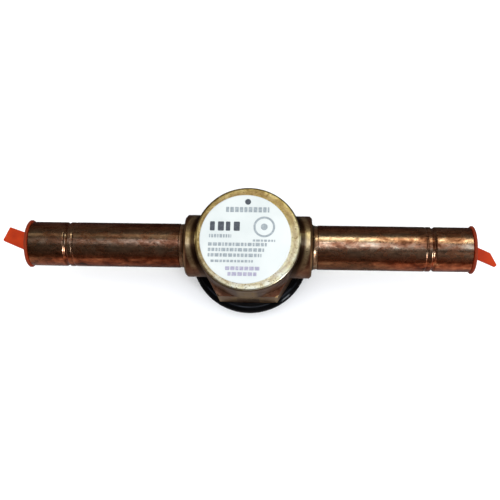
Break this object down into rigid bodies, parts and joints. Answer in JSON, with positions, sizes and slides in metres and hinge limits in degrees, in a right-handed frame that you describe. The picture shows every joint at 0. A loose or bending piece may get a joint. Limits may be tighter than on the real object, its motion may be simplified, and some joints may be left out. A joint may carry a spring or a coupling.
{
  "type": "moisture indicator sight glass",
  "caption": "Moisture-indicator sight glass: round-on-hexagon brass body with extended copper solder stubs, round back label, fused glass window, dust cap and shipping plugs.",
  "frame": {"origin": "centre of the dust cap's flat bottom, on the window axis, where the part rests as in the picture", "axes": "+X along the copper stubs towards the right-hand socket, +Z from the window to the labelled back, +Y away from the viewer"},
  "size_m": [0.1606, 0.0394, 0.0293],
  "materials": {
    "brass": "turned, satin",
    "copper": "drawn copper, slightly tarnished",
    "braze": "brazed fillet",
    "plug_plastic": "soft moulded polyethylene",
    "label": "printed vinyl",
    "plated_steel": "nickel plated",
    "glass": "polished",
    "seal": "fluoropolymer",
    "colour_print": "printed card",
    "holder_plastic": "moulded",
    "indicator": "impregnated filter paper",
    "stainless": "rolled",
    "cap_plastic": "glossy moulded",
    "liner": "closed-cell foam"
  },
  "bodies": {
    "fitting": {"body": "brass", "tube_left": "copper", "tube_right": "copper", "braze_left": "braze", "braze_right": "braze", "label_disc": "label", "window_ring": "plated_steel", "window_glass": "glass", "window_seal": "seal", "colour_ring": "colour_print", "indicator_holder": "holder_plastic", "indicator_paper": "indicator", "indicator_screen": "stainless", "indicator_retainer": "plated_steel", "wave_spring": "stainless"},
    "cap": {"dust_cap": "cap_plastic", "cap_liner": "liner"},
    "left_plug": {"plug_left": "plug_plastic"},
    "right_plug": {"plug_right": "plug_plastic"}
  },
  "joints": [
    {"name": "cap_pull", "type": "slide", "parent": "fitting", "child": "cap", "axis": [0, 0, -1], "range_m": [0, 0.02]},
    {"name": "plug_left_pull", "type": "slide", "parent": "fitting", "child": "left_plug", "axis": [-1, 0, 0], "range_m": [0, 0.03]},
    {"name": "plug_right_pull", "type": "slide", "parent": "fitting", "child": "right_plug", "axis": [1, 0, 0], "range_m": [0, 0.03]}
  ]
}
